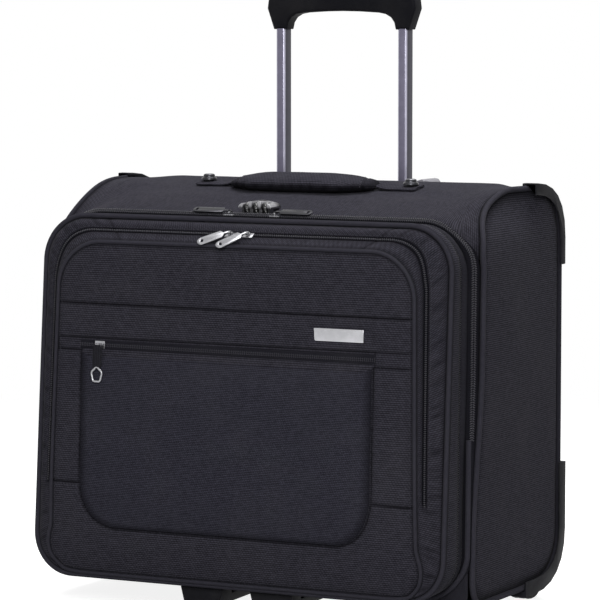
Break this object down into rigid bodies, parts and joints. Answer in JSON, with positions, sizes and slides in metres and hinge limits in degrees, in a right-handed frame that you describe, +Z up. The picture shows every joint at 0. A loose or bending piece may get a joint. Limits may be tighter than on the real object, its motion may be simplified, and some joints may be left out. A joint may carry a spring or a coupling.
{
  "type": "rolling flight case",
  "caption": "Wide upright fabric rolling case with a zipped front section, slit pocket, combination lock, carry handle and telescopic pull handle.",
  "frame": {"origin": "centre of the footprint, on the floor plane", "axes": "+Z up, front with the pockets towards -Y, pull handle at the +Y side"},
  "size_m": [0.4436, 0.2652, 0.577],
  "materials": {
    "case_fabric": "dense ballistic weave, matt",
    "trim_fabric": "ribbed tape and covered cord",
    "webbing": "woven strap",
    "lining_board": "lined stiffening board",
    "black_plastic": "fine grained moulding",
    "tube_aluminium": "satin anodised",
    "bezel_grey": "satin metallic paint",
    "bright_metal": "satin plated",
    "dark_metal": "dark satin plating",
    "wheel_rubber": "matt tread"
  },
  "bodies": {
    "case": {"side_panel_left": "case_fabric", "side_panel_right": "case_fabric", "side_piping_left": "trim_fabric", "side_piping_right": "trim_fabric", "top_panel": "case_fabric", "back_panel": "case_fabric", "base_tray": "case_fabric", "front_rim": "trim_fabric", "main_zipper": "dark_metal", "corner_guard_left": "black_plastic", "corner_guard_right": "black_plastic", "wheel_housing_left": "black_plastic", "wheel_housing_right": "black_plastic", "axle_left": "dark_metal", "axle_right": "dark_metal", "front_foot_left": "black_plastic", "front_foot_right": "black_plastic", "handle_bezel": "bezel_grey", "outer_tube_left": "dark_metal", "outer_tube_right": "dark_metal", "tube_base": "black_plastic", "handle_cover": "lining_board", "handle_stud_left": "dark_metal", "handle_stud_right": "dark_metal", "lock_body": "bright_metal"},
    "carry_handle": {"carry_grip": "case_fabric", "carry_strap_left": "webbing", "carry_strap_right": "webbing"},
    "handle_middle": {"middle_tube_left": "dark_metal", "middle_tube_right": "dark_metal"},
    "handle_inner": {"inner_tube_left": "tube_aluminium", "inner_tube_right": "tube_aluminium", "pull_grip": "black_plastic"},
    "release_button": {"grip_button": "dark_metal"},
    "left_wheel": {"wheel_left": "wheel_rubber"},
    "right_wheel": {"wheel_right": "wheel_rubber"},
    "dial_1": {"lock_dial_1": "black_plastic"},
    "dial_2": {"lock_dial_2": "black_plastic"},
    "dial_3": {"lock_dial_3": "black_plastic"},
    "lock_release": {"lock_button": "dark_metal"},
    "left_main_slider": {"main_slider_left": "dark_metal"},
    "left_main_pull": {"main_pull_left": "dark_metal"},
    "right_main_slider": {"main_slider_right": "dark_metal"},
    "right_main_pull": {"main_pull_right": "dark_metal"},
    "section": {"lid_frame": "trim_fabric", "expansion_gusset": "lining_board"},
    "lid": {"lid_gusset": "case_fabric", "lid_panel": "lining_board", "lid_piping": "trim_fabric", "pocket_gusset": "case_fabric"},
    "pocket": {"pocket_cover": "case_fabric", "pocket_piping": "trim_fabric", "nameplate": "bright_metal"},
    "left_pocket_slider": {"pocket_slider_left": "bright_metal"},
    "left_pocket_pull": {"pocket_pull_left": "bright_metal"},
    "right_pocket_slider": {"pocket_slider_right": "bright_metal"},
    "right_pocket_pull": {"pocket_pull_right": "bright_metal"},
    "slit_slider": {"front_slider": "bright_metal"},
    "slit_pull": {"front_pull": "webbing"}
  },
  "joints": [
    {"name": "carry_lift", "type": "slide", "parent": "case", "child": "carry_handle", "axis": [0, 0, 1], "range_m": [0, 0.022], "deforming": ["carry_strap_left", "carry_strap_right"]},
    {"name": "middle_stage", "type": "slide", "parent": "case", "child": "handle_middle", "axis": [0, 0, 1], "range_m": [0, 0.25]},
    {"name": "inner_stage", "type": "slide", "parent": "handle_middle", "child": "handle_inner", "axis": [0, 0, 1], "range_m": [-0.136, 0.134]},
    {"name": "release_press", "type": "slide", "parent": "handle_inner", "child": "release_button", "axis": [0, 0, -1], "range_m": [0, 0.004], "stiffness_N_per_m": 400},
    {"name": "left_wheel_spin", "type": "hinge", "parent": "case", "child": "left_wheel", "pos_m": [-0.19, 0.10765, 0.025], "axis": [1, 0, 0], "continuous": true},
    {"name": "right_wheel_spin", "type": "hinge", "parent": "case", "child": "right_wheel", "pos_m": [0.19, 0.10765, 0.025], "axis": [1, 0, 0], "continuous": true},
    {"name": "dial_1_turn", "type": "hinge", "parent": "case", "child": "dial_1", "pos_m": [-0.0175, -0.05435, 0.3733], "axis": [1, 0, 0], "continuous": true},
    {"name": "dial_2_turn", "type": "hinge", "parent": "case", "child": "dial_2", "pos_m": [-0.008, -0.05435, 0.3733], "axis": [1, 0, 0], "continuous": true},
    {"name": "dial_3_turn", "type": "hinge", "parent": "case", "child": "dial_3", "pos_m": [0.0015, -0.05435, 0.3733], "axis": [1, 0, 0], "continuous": true},
    {"name": "lock_press", "type": "slide", "parent": "case", "child": "lock_release", "axis": [0, 0, -1], "range_m": [0, 0.0015], "stiffness_N_per_m": 400},
    {"name": "left_main_zip", "type": "slide", "parent": "case", "child": "left_main_slider", "axis": [-1, 0, 0], "range_m": [0, 0.12]},
    {"name": "left_main_pull_lift", "type": "hinge", "parent": "left_main_slider", "child": "left_main_pull", "pos_m": [-0.0315, -0.0658, 0.3694], "axis": [0, 1, 0], "range_deg": [0, 95]},
    {"name": "right_main_zip", "type": "slide", "parent": "case", "child": "right_main_slider", "axis": [1, 0, 0], "range_m": [0, 0.12]},
    {"name": "right_main_pull_lift", "type": "hinge", "parent": "right_main_slider", "child": "right_main_pull", "pos_m": [0.0155, -0.0658, 0.3694], "axis": [0, -1, 0], "range_deg": [0, 95]},
    {"name": "lid_open", "type": "hinge", "parent": "case", "child": "section", "pos_m": [0, -0.11535, 0.03], "axis": [1, 0, 0], "range_deg": [0, 35]},
    {"name": "expand", "type": "slide", "parent": "section", "child": "lid", "axis": [0, -1, 0], "range_m": [0, 0.025], "deforming": ["expansion_gusset"]},
    {"name": "pocket_open", "type": "hinge", "parent": "lid", "child": "pocket", "pos_m": [0, -0.12735, 0.0345], "axis": [1, 0, 0], "range_deg": [0, 30]},
    {"name": "left_pocket_zip", "type": "slide", "parent": "pocket", "child": "left_pocket_slider", "axis": [-1, 0, 0], "range_m": [0, 0.1]},
    {"name": "left_pocket_pull_lift", "type": "hinge", "parent": "left_pocket_slider", "child": "left_pocket_pull", "pos_m": [-0.008, -0.10996, 0.35368], "axis": [-1, 0, 0], "range_deg": [0, 95]},
    {"name": "right_pocket_zip", "type": "slide", "parent": "pocket", "child": "right_pocket_slider", "axis": [1, 0, 0], "range_m": [0, 0.1]},
    {"name": "right_pocket_pull_lift", "type": "hinge", "parent": "right_pocket_slider", "child": "right_pocket_pull", "pos_m": [0.01, -0.10996, 0.35368], "axis": [-1, 0, 0], "range_deg": [0, 95]},
    {"name": "slit_zip", "type": "slide", "parent": "pocket", "child": "slit_slider", "axis": [1, 0, 0], "range_m": [0, 0.28]},
    {"name": "slit_pull_lift", "type": "hinge", "parent": "slit_slider", "child": "slit_pull", "pos_m": [-0.1355, -0.12889, 0.247], "axis": [-1, 0, 0], "range_deg": [0, 95]}
  ]
}
